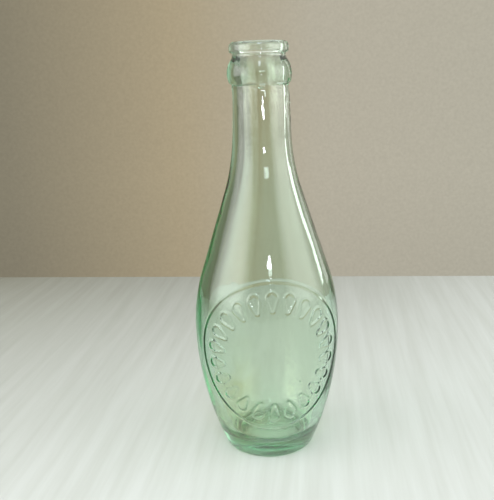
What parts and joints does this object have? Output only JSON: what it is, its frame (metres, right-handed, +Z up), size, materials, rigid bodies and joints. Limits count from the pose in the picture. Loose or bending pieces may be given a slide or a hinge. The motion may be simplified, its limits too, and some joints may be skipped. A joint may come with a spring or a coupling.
{
  "type": "glass soda bottle",
  "caption": "Skittle-shaped thick glass soda bottle with a rounded crown-cap lip, a bulging collar and a raised ring on its belly, empty and uncapped.",
  "frame": {"origin": "middle of the standing ring, at the lowest point of the foot", "axes": "+Z up the bottle's axis, out of its mouth; -Y towards the middle of the raised ring; +X to the right of someone who faces the ring"},
  "size_m": [0.0686, 0.0686, 0.1912],
  "materials": {
    "green_glass": "gloss"
  },
  "bodies": {
    "root": {"blown_body": "green_glass", "applied_lip": "green_glass"}
  },
  "joints": []
}
